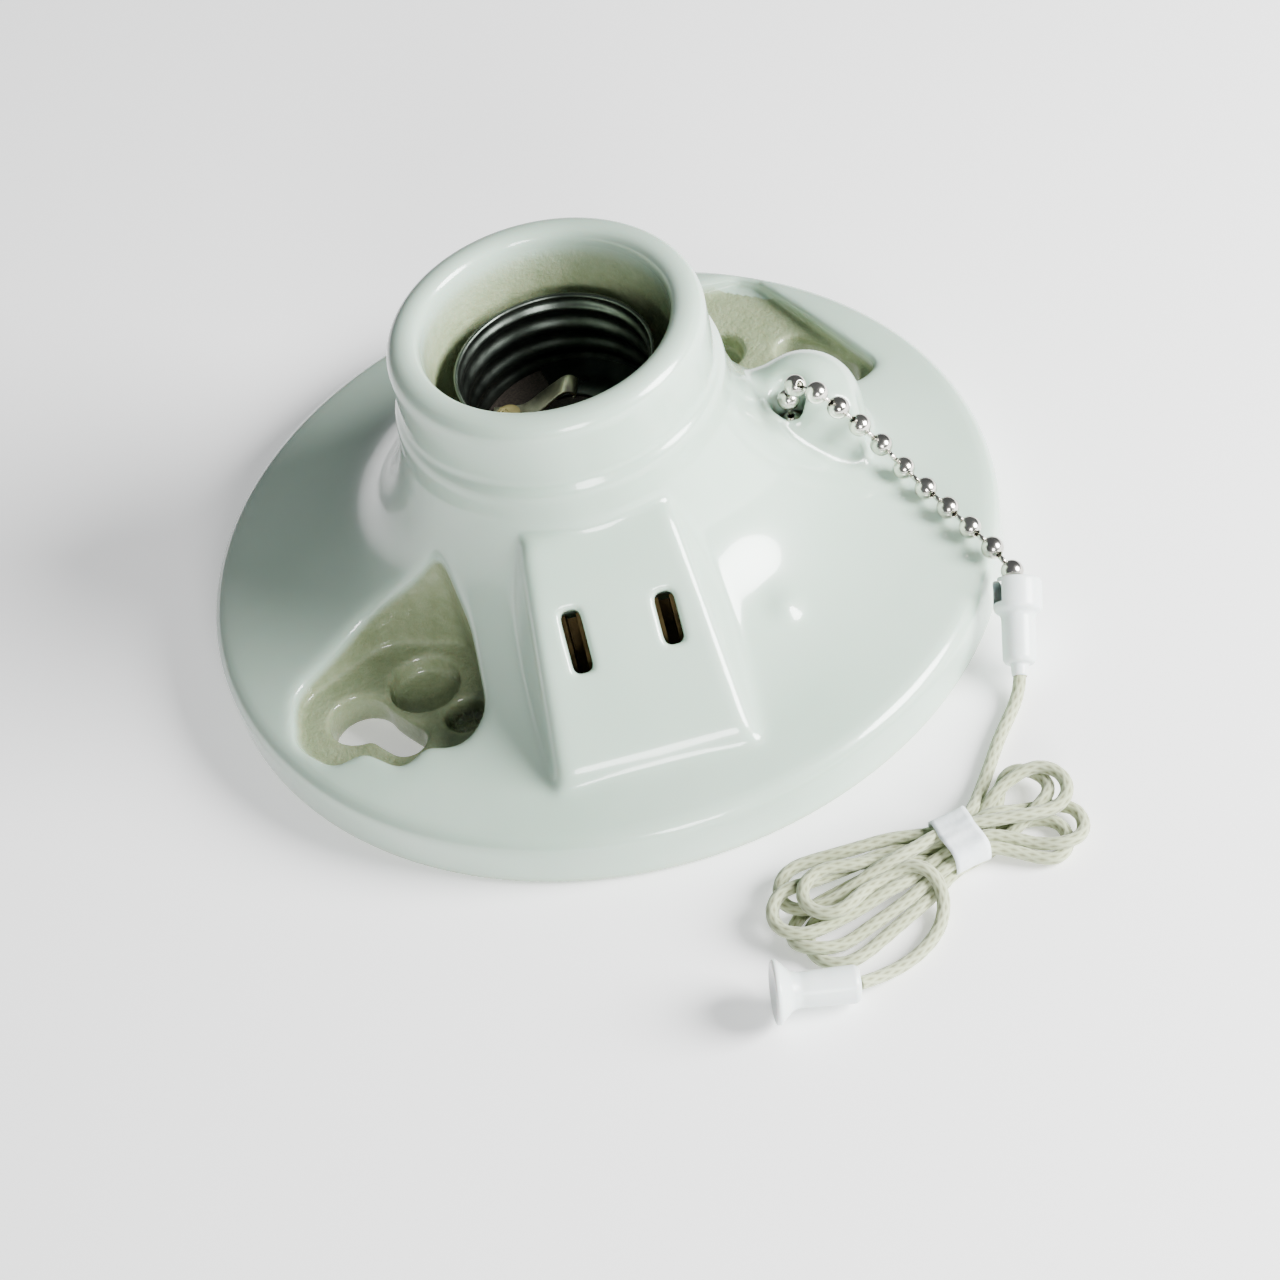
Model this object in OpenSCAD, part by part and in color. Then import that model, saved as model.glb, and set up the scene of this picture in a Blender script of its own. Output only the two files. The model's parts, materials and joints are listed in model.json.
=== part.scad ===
// Ceiling lampholder with a pull-chain switch and a two-slot side outlet.
// Frame: origin at the centre of the back plane, on the lamp socket's axis.
// +Z points towards the lamp, -Y towards the outlet. Millimetres.

/* [Porcelain body] */
// Diameter of the base disc
base_d = 114.3; // [112:0.1:118]
// Height of the rim's side wall, below its rounded shoulder
rim_wall_h = 6; // [5:0.5:7]
// Height of the whole body
body_h = 50; // [48:0.5:54]
// Outside diameter of the socket collar
collar_d = 43.8; // [43:0.1:45]
// Inside diameter of the collar's mouth
mouth_d = 34.4; // [33:0.1:35]
// Depth of the shallow relief in the back
relief_h = 3.2; // [2:0.1:4]

/* [Lamp socket] */
// Inside diameter of the plain lead-in of the screw shell
shell_bore_d = 26.6; // [26.4:0.1:27]
// Thread pitch
thread_pitch = 3.629; // [3.6:0.001:3.66]
// Thickness of the shell's metal
shell_wall = 0.4; // [0.3:0.05:0.5]
// Height of the shell's top edge
shell_top = 42; // [40:0.5:43]

/* [Outlet] */
// Distance between the two slots
slot_spacing = 12.7; // [12.5:0.1:13]
// Length of the neutral slot
neutral_slot_l = 8.6; // [8:0.1:9]
// Length of the hot slot
hot_slot_l = 7.2; // [6.6:0.1:7.6]
// Width of both slots
slot_w = 2.7; // [2.4:0.1:3]

/* [Mounting] */
// Distance between the two box screws
box_screw_spacing = 88.9; // [88:0.1:90]
// Diameter of each keyhole's round end
keyhole_d = 8.8; // [8.6:0.1:9]
// Width of each keyhole's narrow end
keyhole_tail_w = 5.4; // [5:0.1:5.6]

/* [Chain and cord] */
// Diameter of one bead
bead_d = 3.2; // [3:0.1:3.2]
// Distance from bead to bead
bead_pitch = 4.7; // [4.6:0.05:4.8]
// Diameter of the braided cord
cord_d = 1.8; // [1.6:0.1:1.8]

/* [Hidden] */
$fn = 96;
EPS = 0.01;

// Body
base_r = base_d / 2;
collar_r = collar_d / 2;
mouth_r = mouth_d / 2;
shoulder_r = 2.5;
lip_r = 2.4;
// The flare from disc to collar is a hyperbola: height = flare_low + flare_gain / (r - flare_axis).
flare_low = 2.9;
flare_gain = 225;
flare_axis = 16;
flare_out_r = 50;
flare_in_r = 23.2;
ridge_z = 38.2;
socket_floor_z = 28;
roof_z = 12;
core_r = 22.5;
pad_z = 0.8;
recess_floor_z = 6.5;
relief_r = 51;

// Outlet wedge: its face runs from a high edge near the collar to a low edge near the rim.
face_top = [-23.7, 32.3];
face_low = [-47, 12];
face_tilt = atan2(face_top[1] - face_low[1], face_top[0] - face_low[0]);
face_mid = [-34.1, 23.24];
face_wall = 4;
wedge_top_w = 20.9;
wedge_low_w = 26.6;
clip_reach = 12.5;
outlet_half_w = 8.6;
web_half_w = 2;

// Mounting: both keyholes and both blind pockets lie on one line through the axis.
mount_angle = 29.5;
keyhole_sweep = 11;
pocket_r = 34.2;
pocket_d = 10;
pocket_turn = 2.8;
pocket_floor_z = 3.4;

// Chain boss
boss = [32.8, 4.6];
boss_r = 8.3;
boss_dome_z = 17.7;
boss_front_y = -4.8;
chain_hole = [30.3, 1.2];
chain_hole_r = 2.1;

// Switch: the pivot runs along Y, the lever reaches from it to the chain's line.
pivot = [19.8, 7.6];
pin_r = 1.25;
run_gap = 0.05;
lever_reach = chain_hole[0] - pivot[0];
pull_travel = 7;
lever_rest = -atan(pull_travel / 2 / lever_reach);
lever_y = [0.6, 1.8];
stirrup_z = pivot[1] - pull_travel / 2;
sleeve_r = 1.9;
slot_r = 0.85;
lever_end_r = 1.7;

// Chain route: up out of the hole, over the boss and down, then flat across the disc.
chain_route = [
    [30.3, 1.2, 4], [30.3, 1.2, 9], [30.3, 1.2, 14], [30.3, 1.2, 19], [30.3, 1.2, 22.5],
    [30.8, 0.2, 25.6], [31.9, -1.6, 27.9], [33.2, -3.7, 28.6], [34.6, -4.8, 27.6],
    [35.9, -4.6, 25.5], [36.9, -4.4, 23.8], [39.3, -4.8, 20], [41.7, -5.7, 16.1],
    [43.7, -7.7, 13.2], [45.6, -11.4, 12.3], [47.6, -15.5, 11.7], [49.7, -19.7, 11.1],
    [51.8, -24, 10.4], [53.5, -28, 9.6], [53.3, -32.2, 7]
];
chain_start_s = 5.2;
inner_beads = 2;
link_count = 8;
outer_beads = 6;

// Cord route, lying on the surface at Z = 0: from the coupling to the band, then the tail.
lead_route = [
    [51, -39.9, 3], [50.4, -41.8, 2], [49.4, -43.8, 1.2], [47.6, -46.6, 0.95], [45.4, -49.8, 0.95],
    [43.2, -53.6, 0.95], [41, -57.4, 1], [39.5, -60.2, 1.8], [38.4, -62.4, 2.6]
];
tail_route = [
    [31.4, -72, 1.6], [31.4, -74.4, 1.1], [30.6, -77, 0.95], [28.6, -79.8, 0.95],
    [25.6, -82, 0.95], [22.2, -83.4, 1.2], [20, -84.3, 1.9], [18, -85, 2.6]
];
coupling_top = [53.9, -29.6, 8.4];
coupling_low = lead_route[0];
pull_end_root = tail_route[7];
pull_end_tip = [6.9, -84.3, 4.4];
hank_mid = [35.7, -66.6];
hank_turn = 14;
hank_h = 5;
hank_left = [-19.9, -0.4];
hank_right = [10.8, -0.5];
hank_left_r = 6.2;
hank_right_r = 6.5;
band_w = 5.2;
band_l = 8.2;

PORCELAIN = "#dfe6e0";
NICKEL = "#b9bcbc";
BRASS = "#c9a24a";
FIBRE = "#3a3028";
STEEL = "#8d9296";
COTTON = "#ddd7b8";
PLASTIC = "#f2f4f4";

// ---------- helpers ----------

// Points of an arc about c, from angle a to angle b.
function arc(c, r, a, b, n = 8) = [for (i = [0:n]) c + r * [cos(a + (b - a) * i / n),
                                                            sin(a + (b - a) * i / n)]];

// A closed outline with rounded corners: each corner is [x, y, radius].
function unit(v) = v / norm(v);
function rounded(c, n = 6) = [for (i = [0:len(c) - 1]) each corner(c, i, n)];
function corner(c, i, n) =
    let (p = [c[i][0], c[i][1]],
         a = c[(i + len(c) - 1) % len(c)], b = c[(i + 1) % len(c)],
         u = unit([a[0], a[1]] - p), v = unit([b[0], b[1]] - p),
         half = acos(u * v) / 2,
         centre = p + unit(u + v) * c[i][2] / sin(half),
         from = p + u * c[i][2] / tan(half) - centre,
         to = p + v * c[i][2] / tan(half) - centre,
         turn = atan2(from[0] * to[1] - from[1] * to[0], from * to))
    [for (k = [0:n]) let (t = turn * k / n)
        centre + [from[0] * cos(t) - from[1] * sin(t), from[0] * sin(t) + from[1] * cos(t)]];

function flare_z(r) = flare_low + flare_gain / (r - flare_axis);
function polar(r, a) = [r * cos(a), r * sin(a)];

// A smooth curve through the points of a route.
function spline(p, n = 12) =
    [for (i = [0:len(p) - 2], k = [0:n - 1]) bend(p, i, k / n), p[len(p) - 1]];
function bend(p, i, t) =
    let (a = p[max(i - 1, 0)], b = p[i], c = p[i + 1], d = p[min(i + 2, len(p) - 1)])
    0.5 * (2 * b + (c - a) * t + (2 * a - 5 * b + 4 * c - d) * t * t
           + (3 * b - a - 3 * c + d) * t * t * t);

// Running length along a curve, and the point at a given length.
function lengths(p) = [for (i = 0, s = 0; i < len(p);
                            s = s + (i < len(p) - 1 ? norm(p[i + 1] - p[i]) : 0), i = i + 1) s];
function at_length(p, sums, s) =
    [for (k = [0:2]) lookup(s, [for (i = [0:len(p) - 1]) [sums[i], p[i][k]]])];

// Places the children with their Z axis along the line from a to b.
module aim(a, b) {
    d = b - a;
    translate(a)
        rotate([0, acos(d[2] / norm(d)), atan2(d[1], d[0])])
            children();
}

module rod(a, b, r) {
    aim(a, b) cylinder(r = r, h = norm(b - a), $fn = 24);
}

// A tube of eight sides swept along a curve.
module swept_tube(path, r) {
    last = len(path) - 1;
    function heading(i) = unit(path[min(i + 1, last)] - path[max(i - 1, 0)]);
    rings = [for (i = [0:last])
        let (t = heading(i), side = unit(cross(t, [0, 0, 1])), up = cross(side, t))
        for (k = [0:7]) path[i] + r * (cos(45 * k) * side + sin(45 * k) * up)];
    walls = [for (i = [0:last - 1], k = [0:7])
        [8 * i + k, 8 * i + (k + 1) % 8, 8 * (i + 1) + (k + 1) % 8, 8 * (i + 1) + k]];
    polyhedron(points = rings, faces = concat(walls,
        [[for (k = [7:-1:0]) k]], [[for (k = [0:7]) 8 * last + k]]));
}

module capsule_2d(a, b, r) {
    d = b - a;
    translate(a) circle(r = r);
    translate(b) circle(r = r);
    translate(a) rotate(atan2(d[1], d[0])) translate([0, -r]) square([norm(d), 2 * r]);
}

// A flat strip through a list of points, w wide and h thick, standing on height z.
module strip(points, w, z, h) {
    translate([0, 0, z]) linear_extrude(h)
        for (i = [0:len(points) - 2]) capsule_2d(points[i], points[i + 1], w / 2, $fn = 32);
}

// Puts the children on the outlet's face: X stays, +Z leaves the face squarely.
module on_face(x = 0) {
    translate([x, face_mid[0], face_mid[1]]) rotate([face_tilt, 0, 0]) children();
}

// A screw with a slotted pan head below z, its shank going up.
module pan_screw(p, z, shank_r, shank_h, head_r, head_h) {
    translate([p[0], p[1], z]) {
        difference() {
            translate([0, 0, -head_h]) cylinder(r = head_r, h = head_h, $fn = 48);
            translate([-head_r, -0.4, -head_h - EPS]) cube([2 * head_r, 0.8, head_h * 0.45]);
        }
        translate([0, 0, -EPS]) cylinder(r = shank_r, h = shank_h, $fn = 32);
    }
}

// ---------- porcelain body ----------

left_recess = [
    [-21.8, -13, 2.2], [-33, -8.8, 8], [-46.8, -16.4, 6], [-48, -25.4, 6], [-43, -31.2, 2.5],
    [-38.4, -30.4, 2], [-33.6, -35.4, 2], [-30, -33, 1.5], [-25, -35.4, 4], [-20.8, -31.4, 4],
    [-20.2, -21, 5]
];
right_recess = [
    [45.7, 19, 2.5], [32.7, 44.4, 3], [29.8, 46.6, 3], [19.8, 46.6, 5], [15.9, 38, 5],
    [16.9, 27, 5], [21.3, 17, 4], [27.3, 15.2, 2], [41.8, 15.4, 3]
];

module outer_profile() {
    flare = [for (i = [0:24]) let (r = flare_out_r + (flare_in_r - flare_out_r) * i / 24)
        [r, flare_z(r)]];
    polygon(concat(
        [[0, 0], [base_r, 0]],
        arc([base_r - shoulder_r, rim_wall_h], shoulder_r, 0, 80),
        flare,
        [[23, ridge_z], [22.7, ridge_z + 0.9], [collar_r, ridge_z + 1.6]],
        arc([collar_r - lip_r, body_h - lip_r], lip_r, 0, 90),
        arc([mouth_r + 1.6, body_h - 1.6], 1.6, 90, 180),
        [[mouth_r - 0.4, 40], [mouth_r - 0.8, 34], [15.2, 31.5], [15.2, socket_floor_z],
         [0, socket_floor_z]]));
}

module outlet_wedge() {
    hull() {
        for (side = [-1, 1]) {
            translate([side * wedge_top_w / 2, face_top[0], face_top[1]]) sphere(r = EPS, $fn = 8);
            translate([side * wedge_low_w / 2, face_low[0], face_low[1]]) sphere(r = EPS, $fn = 8);
            translate([side * 17.8, -23, 8]) sphere(r = EPS, $fn = 8);
            translate([side * 14.4, -48, 8]) sphere(r = EPS, $fn = 8);
            translate([side * 16, -14, 8]) sphere(r = EPS, $fn = 8);
            translate([side * 9, -17.6, 32]) sphere(r = EPS, $fn = 8);
        }
    }
}

module chain_boss() {
    front_lean = atan(0.346);
    difference() {
        union() {
            translate([boss[0], boss[1], 4]) cylinder(r1 = boss_r + 0.9, r2 = boss_r, h = boss_dome_z - 4);
            translate([boss[0], boss[1], boss_dome_z]) sphere(r = boss_r);
            translate([28.6, 5.6, 4]) cylinder(r = 7.1, h = 13.2);
            translate([28.6, 5.6, 17.2]) sphere(r = 7.1);
            translate([18, 0.6, 4]) cube([10, 9, 15]);
            // Broad front of the boss.
            intersection() {
                translate([25.8, -8, 4]) cube([14, 12, 24]);
                translate([32.6, 3.6, 14.2]) sphere(r = 11);
            }
        }
        translate([boss[0], boss_front_y, 13]) rotate([-front_lean, 0, 0]) translate([-12, -20, -14])
            cube([24, 20, 40]);
    }
}

module keyhole(outward) {
    sweep = mount_angle + keyhole_sweep;
    tail_r = box_screw_spacing / 2 + outward * (keyhole_d - keyhole_tail_w) / 2 * 0.86;
    translate([0, 0, -1]) linear_extrude(recess_floor_z + 2) {
        translate(polar(box_screw_spacing / 2, mount_angle)) circle(d = keyhole_d);
        difference() {
            circle(r = tail_r + keyhole_tail_w / 2);
            circle(r = tail_r - keyhole_tail_w / 2);
            rotate(mount_angle) translate([-80, -160]) square(160);
            rotate(sweep) translate([-80, 0]) square(160);
            translate([-160, -80]) square(160);
        }
        translate(polar(tail_r, sweep)) circle(d = keyhole_tail_w);
    }
}

module recess_cut(outline) {
    translate([0, 0, recess_floor_z]) linear_extrude(30) polygon(rounded(outline));
}

// Solid pad left standing in the back relief under a recess.
module recess_pad(outline, middle) {
    translate([0, 0, pad_z]) linear_extrude(relief_h)
        translate(middle) scale(1.24) translate(-middle) polygon(rounded(outline));
}

// Outlet cavity on both sides of a web; its roof is parallel to the outlet's face.
module outlet_cavity() {
    roof = face_wall * [sin(face_tilt), -cos(face_tilt)];
    low = face_low + roof;
    back_y = -20.9;
    back_z = low[1] + (back_y - low[0]) * tan(face_tilt);
    for (x = [-outlet_half_w, web_half_w])
        translate([x, 0, 0]) rotate([90, 0, 90]) linear_extrude(outlet_half_w - web_half_w)
            polygon([[-19.4, -1], [-19.4, roof_z - 1], [back_y, roof_z - 1], [back_y, back_z], low,
                     [-44.7, -1]]);
}

module back_cavities() {
    // Shallow relief over the whole back.
    difference() {
        translate([0, 0, -1]) cylinder(r = relief_r, h = relief_h + 1);
        intersection() {
            union() {
                recess_pad(left_recess, [-33, -22.5]);
                recess_pad(right_recess, [31, 30]);
            }
            translate([0, 0, -2]) cylinder(r = 60, h = relief_h + 4);
        }
    }
    // Core cavity under the lamp socket.
    translate([0, 0, -1]) cylinder(r = core_r, h = roof_z + 1);
    // Switch cavity, the lever's slot and the hollow of the boss.
    translate([14, -6.8, -1]) cube([12.6, 16.4, roof_z + 1]);
    translate([24, -3.4, -1]) cube([12.4, 9.6, 10.8]);
    translate([17, -0.4, 4]) cube([18.6, 3.4, 10]);
    translate([31.5, 3.2, 5]) cylinder(r = 4.6, h = 13);
    outlet_cavity();
    translate([0, outlet_screw_y, 0]) cylinder(r = 1.5, h = 10, $fn = 32);
    for (p = cover_screw_at) translate([p[0], p[1], 0]) cylinder(r = 0.95, h = 9, $fn = 32);
    for (p = bracket_screw_at) translate([p[0], p[1], 10]) cylinder(r = 0.9, h = 4.9, $fn = 32);
    // Terminal cavities.
    for (side = [-1, 1]) translate([side * 10, 30.5, -1]) cylinder(r = 7, h = 9.6);
    translate([-13, 16, -1]) cube([26, 14.5, 8.6]);
}

module porcelain_body() {
    color(PORCELAIN)
    difference() {
        union() {
            rotate_extrude() outer_profile();
            difference() {
                union() {
                    outlet_wedge();
                    chain_boss();
                }
                translate([0, 0, -1]) cylinder(r = 18.5, h = 60);
            }
            // Small glazed blister between the outlet and the boss.
            translate([21.6, -28.2, 12.6]) sphere(r = 2.9, $fn = 48);
        }
        back_cavities();
        recess_cut(left_recess);
        recess_cut(right_recess);
        rotate(180) keyhole(-1);
        keyhole(1);
        // Blind pockets for the closer screw spacing, and a blind hole in the right recess.
        for (a = [mount_angle + pocket_turn, mount_angle + pocket_turn + 180])
            translate([pocket_r * cos(a), pocket_r * sin(a), pocket_floor_z])
                cylinder(d = pocket_d, h = recess_floor_z - pocket_floor_z + 1);
        translate([23.4, 33.2, pocket_floor_z]) cylinder(r = 4.2, h = 4);
        translate([-24, -26, pocket_floor_z]) cylinder(r = 3, h = 4);
        // Chain hole with a bell mouth.
        translate([chain_hole[0], chain_hole[1], 16.5]) linear_extrude(14)
            capsule_2d([-0.5, 0], [0.5, 0], chain_hole_r);
        translate([chain_hole[0], chain_hole[1], 22.2]) cylinder(r1 = chain_hole_r, r2 = 4.2, h = 6);
        // Outlet slots.
        on_face(-slot_spacing / 2) translate([-slot_w / 2, -neutral_slot_l / 2, -12])
            cube([slot_w, neutral_slot_l, 20]);
        on_face(slot_spacing / 2) translate([-slot_w / 2, -hot_slot_l / 2, -12])
            cube([slot_w, hot_slot_l, 20]);
        // Holes for the shell's screws and the centre rivet.
        for (p = concat(shell_screw_at, [rivet_at])) translate([p[0], p[1], roof_z - 1])
            cylinder(r = 1.7, h = socket_floor_z - roof_z + 2, $fn = 48);
    }
}

// ---------- lamp socket ----------

shell_screw_at = [[6, -7.1], [8.7, -0.5]];
rivet_at = [-8, 4.4];
insulator_z = [socket_floor_z, socket_floor_z + 2];
crescent_h = 0.5;
head_z = insulator_z[1] + crescent_h;
nut_z = roof_z - 1.8;
shell_r = shell_bore_d / 2;
thread_depth = 0.6;
thread_top = shell_top - 4;
thread_low = insulator_z[1] + 1.6;

function thread_r(z) =
    shell_r - thread_depth / 2 + thread_depth / 2 * cos(360 * (z - thread_top) / thread_pitch);

module screw_shell() {
    steps = 60;
    heights = [for (i = [0:steps]) thread_top + (thread_low - thread_top) * i / steps];
    color(NICKEL) union() {
        rotate_extrude() polygon(concat(
            [[shell_r, shell_top]],
            [for (z = heights) [thread_r(z), z]],
            [[thread_r(thread_low), insulator_z[1]], [thread_r(thread_low) + shell_wall, insulator_z[1]]],
            [for (i = [steps:-1:0]) [thread_r(heights[i]) + shell_wall, heights[i]]],
            [[shell_r + shell_wall, shell_top]]));
        // Crescent floor that the screws hold down.
        difference() {
            translate([0, 0, insulator_z[1]]) cylinder(r = thread_r(thread_low) + 0.2, h = crescent_h);
            translate([0, 0, insulator_z[1] - 1]) cylinder(r = 5.6, h = 3);
            translate([-18.2, -10, insulator_z[1] - 1]) cube([16, 20, 3]);
            for (p = shell_screw_at) translate([p[0], p[1], insulator_z[1] - 1])
                cylinder(r = 1.7, h = 3, $fn = 48);
        }
    }
}

module shell_insulator() {
    color(FIBRE) difference() {
        translate([0, 0, insulator_z[0]]) cylinder(r = 13.6, h = insulator_z[1] - insulator_z[0]);
        for (p = concat(shell_screw_at, [rivet_at]))
            translate([p[0], p[1], insulator_z[0] - 1]) cylinder(r = 1.7, h = 4, $fn = 48);
    }
}

module shell_screws() {
    color(BRASS) for (p = shell_screw_at) translate([p[0], p[1], 0]) {
        translate([0, 0, nut_z - 0.6]) cylinder(r = 1.5, h = head_z + 0.7 - nut_z, $fn = 32);
        translate([0, 0, head_z]) cylinder(r = 2.6, h = 1.2, $fn = 48);
        translate([0, 0, nut_z]) cylinder(r = 2.8, h = roof_z - nut_z, $fn = 6);
    }
}

// The tongue is riveted down on the left and rises to a hooked tip over the axis.
module centre_contact() {
    color(BRASS) translate([rivet_at[0], rivet_at[1], insulator_z[1]]) rotate(-14) difference() {
        union() {
            translate([-2.4, -2, 0]) cube([4.7, 4, 0.5]);
            translate([2.1, -2, 0]) rotate([0, -38, 0]) cube([8.6, 4, 0.5]);
            translate([8.4, -2, 5.3]) rotate([0, 36, 0]) cube([2.2, 4, 0.5]);
        }
        translate([0, 0, -1]) cylinder(r = 1.5, h = 1.7, $fn = 32);
    }
}

module centre_rivet() {
    color(BRASS) translate([rivet_at[0], rivet_at[1], 0]) {
        translate([0, 0, strap_z]) cylinder(r = 1.5, h = head_z - strap_z, $fn = 32);
        translate([0, 0, head_z]) cylinder(r = 1.7, h = 0.5, $fn = 32);
        translate([0, 0, strap_z - 0.9]) cylinder(r = 2.4, h = 0.9, $fn = 32);
    }
}

strap_z = roof_z - 0.7;

// The strap runs from the rivet's eyelet across the roof of the core cavity to the lamp leaf.
module lamp_strap() {
    h = roof_z - strap_z;
    color(BRASS) difference() {
        union() {
            translate([rivet_at[0], rivet_at[1], strap_z]) cylinder(r = 2.7, h = h, $fn = 48);
            translate([rivet_at[0], 2.7, strap_z]) cube([12.5 - rivet_at[0], 3.4, h]);
        }
        translate([rivet_at[0], rivet_at[1], strap_z - 1]) cylinder(r = 1.5, h = 3, $fn = 32);
    }
}

// ---------- outlet ----------

bus_z = 5;
bus_h = 0.8;
bus_w = 4;
bus_end_y = -23.8;

// A clip of two leaves on each side of a blade, joined at the bottom, with a tail down to its bus.
module blade_clip(x, length) {
    on_face(x) {
        for (side = [-1, 1]) translate([side > 0 ? 0.75 : -1.35, -length / 2 + 0.4, -clip_reach])
            cube([0.6, length - 0.8, clip_reach - face_wall]);
        translate([-1.35, -length / 2 + 0.4, -clip_reach - 0.6]) cube([2.7, length - 0.8, 0.6]);
    }
    translate([x - 1.2, -25.6, bus_z + bus_h]) cube([2.4, 0.8, 7.6]);
}

module outlet_contact_neutral() {
    color(BRASS) blade_clip(-slot_spacing / 2, neutral_slot_l);
}

module outlet_contact_hot() {
    color(BRASS) blade_clip(slot_spacing / 2, hot_slot_l);
}

neutral_end = [-10, 30.5];
hot_end = [10, 30.5];

module neutral_bus() {
    x = -slot_spacing / 2;
    color(NICKEL) difference() {
        union() {
            strip([neutral_end, [-10.4, 17], [-13, -8], [x, -16], [x, bus_end_y]], bus_w, bus_z, bus_h);
            strip([[-13, -8], [-4, -8], shell_screw_at[0]], bus_w, bus_z, bus_h);
            translate([shell_screw_at[0][0], shell_screw_at[0][1], bus_z])
                cylinder(r = 2, h = nut_z - 0.6 - bus_z, $fn = 32);
        }
        translate([neutral_end[0], neutral_end[1], 0]) cylinder(r = 1.8, h = 12, $fn = 48);
    }
}

module hot_bus() {
    x = slot_spacing / 2;
    color(BRASS) difference() {
        strip([hot_end, [10, 14], [9.8, 2], [11.4, -10], [x, -16], [x, bus_end_y]], bus_w, bus_z, bus_h);
        translate([hot_end[0], hot_end[1], 0]) cylinder(r = 1.8, h = 12, $fn = 48);
    }
}

module terminal_screw(p) {
    pan_screw(p, bus_z - 0.1, 1.74, 3, 3.6, 2);
}

module terminal_screw_neutral() {
    color(NICKEL) terminal_screw(neutral_end);
}

module terminal_screw_hot() {
    color(BRASS) terminal_screw(hot_end);
}

cover_h = 0.9;
cover_z = relief_h - cover_h;
outlet_screw_y = -34;

module outlet_cover() {
    color(FIBRE) difference() {
        translate([-10.8, -46.2, cover_z]) cube([21.6, 23, cover_h]);
        translate([0, outlet_screw_y, 0]) cylinder(r = 1.5, h = 6, $fn = 32);
    }
}

module outlet_cover_screw() {
    color(STEEL) pan_screw([0, outlet_screw_y], cover_z, 1.5, 7, 2.6, 0.7);
}

// ---------- switch ----------

drum_y = [2.6, 5.6];
wheel_y = [-2.4, -0.2];
ear_y = [-5.2, 7.6];
wheel_r = 3.7;
bracket_x = [13.2, 23.6];
bracket_h = 0.3;
bracket_screw_at = [[14.6, -4], [14.6, 0.6]];
cover_screw_at = [[27, -9.3], [39.8, 6.5]];

module along_y(x, z, y0, y1, r, n = 48) {
    translate([x, y1, z]) rotate([90, 0, 0]) cylinder(r = r, h = y1 - y0, $fn = n);
}

// A flat shape standing across the pivot, between two depths.
module across_pivot(y) {
    translate([pivot[0], y[1], pivot[1]]) rotate([90, 0, 0]) linear_extrude(y[1] - y[0]) children();
}

module switch_bracket() {
    plate_z = roof_z - bracket_h;
    color(STEEL) difference() {
        union() {
            for (y = ear_y) translate([16, y - 0.5, 3.6]) cube([7.6, 1, roof_z - 3.6]);
            translate([bracket_x[0], ear_y[0] - 0.5, plate_z])
                cube([bracket_x[1] - bracket_x[0], ear_y[1] - ear_y[0] + 1, bracket_h]);
        }
        along_y(pivot[0], pivot[1], -10, 12, pin_r);
        for (p = bracket_screw_at) translate([p[0], p[1], 10]) cylinder(r = 0.9, h = 3, $fn = 32);
    }
}

module pivot_pin() {
    color(STEEL) {
        along_y(pivot[0], pivot[1], ear_y[0] - 0.9, ear_y[1] + 0.9, pin_r);
        along_y(pivot[0], pivot[1], ear_y[0] - 1.3, ear_y[0] - 0.5, 1.9);
        along_y(pivot[0], pivot[1], ear_y[1] + 0.5, ear_y[1] + 1.3, 1.9);
    }
}

module bracket_screws() {
    color(STEEL) for (p = bracket_screw_at) pan_screw(p, roof_z - bracket_h, 0.9, 3, 1.5, 0.9);
}

// The lever's slotted end drives the pin of the chain's stirrup.
module pull_lever() {
    slot_from = lever_reach;
    slot_to = lever_reach / cos(lever_rest);
    color(STEEL) across_pivot(lever_y) rotate(lever_rest) difference() {
        union() {
            circle(r = 3.1);
            polygon([[0, -2.6], [slot_to, -lever_end_r], [slot_to, lever_end_r], [0, 2.6]]);
            capsule_2d([slot_from, 0], [slot_to, 0], lever_end_r, $fn = 48);
        }
        circle(r = sleeve_r + run_gap);
        capsule_2d([slot_from, 0], [slot_to, 0], slot_r, $fn = 48);
    }
}

// The pawl reaches across the ratchet wheel from the lever's side.
module pawl() {
    color(BRASS) across_pivot([-1.8, lever_y[0]]) rotate(lever_rest)
        polygon([[4.1, -0.9], [6.2, -1.2], [6.2, 1], [4.5, 0.9]]);
}

module ratchet_wheel() {
    color(STEEL) across_pivot(wheel_y) difference() {
        polygon([for (i = [0:7]) each [polar(wheel_r, 45 * i), polar(wheel_r * 0.72, 45 * i + 8)]]);
        circle(r = pin_r + run_gap);
    }
}

// The drum's sleeve carries the lever and meets the ratchet wheel.
module contact_drum() {
    color(FIBRE) difference() {
        union() {
            across_pivot(drum_y) circle(r = 3);
            across_pivot([wheel_y[1], drum_y[0] + EPS]) circle(r = sleeve_r);
        }
        along_y(pivot[0], pivot[1], -10, 12, pin_r + run_gap);
    }
}

module moving_contact() {
    color(BRASS) across_pivot([drum_y[0] + 0.3, drum_y[1] - 0.3]) difference() {
        circle(r = 3.4);
        circle(r = 3);
        rotate(100) translate([0, -1.6]) square([5, 3.2]);
    }
}

// Leaf contacts, one each side of the drum.
module line_leaf() {
    color(BRASS) {
        translate([15.6, 3.1, bus_z + bus_h]) cube([0.4, 2, 4.4]);
        translate([8.6, 3.1, bus_z + bus_h]) cube([7.4, 2, 0.5]);
    }
}

module lamp_leaf() {
    color(BRASS) {
        translate([23.8, 3.1, 3.6]) cube([0.4, 3.7, strap_z - 3.6]);
        translate([10, 5.9, strap_z - 0.5]) cube([14.2, 0.9, 0.5]);
        translate([10, 3.2, strap_z - 0.5]) cube([2.6, 3.6, 0.5]);
    }
}

module return_spring() {
    color(STEEL) difference() {
        along_y(pivot[0], pivot[1], ear_y[0] + 0.5, -2.8, 2.3);
        along_y(pivot[0], pivot[1], -6, 0, pin_r + 0.4);
    }
}

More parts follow.
